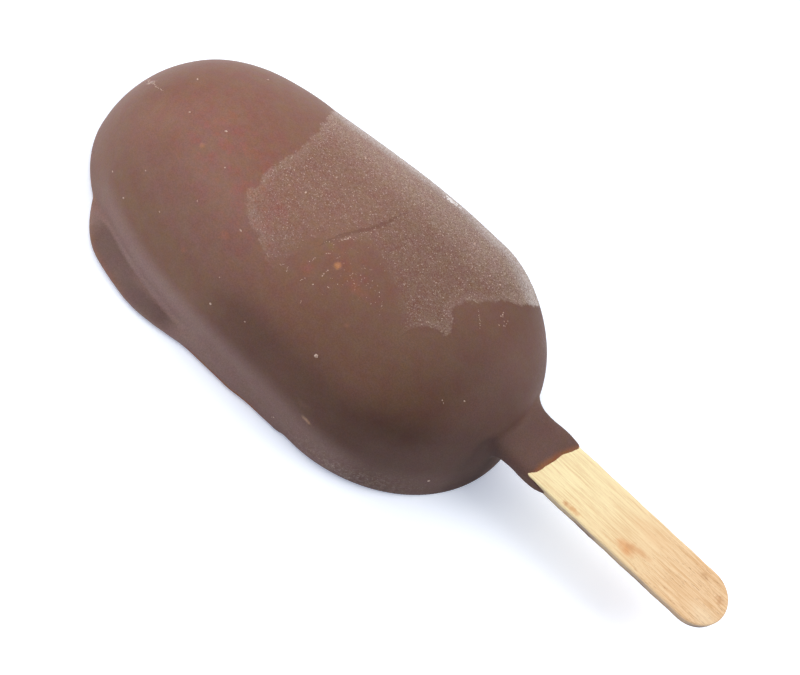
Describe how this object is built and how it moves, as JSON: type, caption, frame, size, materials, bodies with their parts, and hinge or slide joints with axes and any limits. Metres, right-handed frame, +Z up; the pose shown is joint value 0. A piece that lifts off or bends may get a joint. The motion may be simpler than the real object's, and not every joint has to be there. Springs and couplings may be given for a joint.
{
  "type": "ice cream bar",
  "caption": "Chocolate-coated ice cream bar lying on its flat side, oval and domed, with a flattened foot of coating and a round-ended flat wooden stick.",
  "frame": {"origin": "on the ground, under the middle of the whole part's box", "axes": "+X along the bar from its free tip to the stick, +Z up from the flat underside, the foot of coating on the -Y side"},
  "size_m": [0.1318, 0.052, 0.0269],
  "materials": {
    "chocolate": "satin milk chocolate with a thin patch of frost",
    "bare_wood": "unvarnished pale wood with a fine grain along the stick"
  },
  "bodies": {
    "root": {"coated_bar": "chocolate", "stick": "bare_wood"}
  },
  "joints": []
}
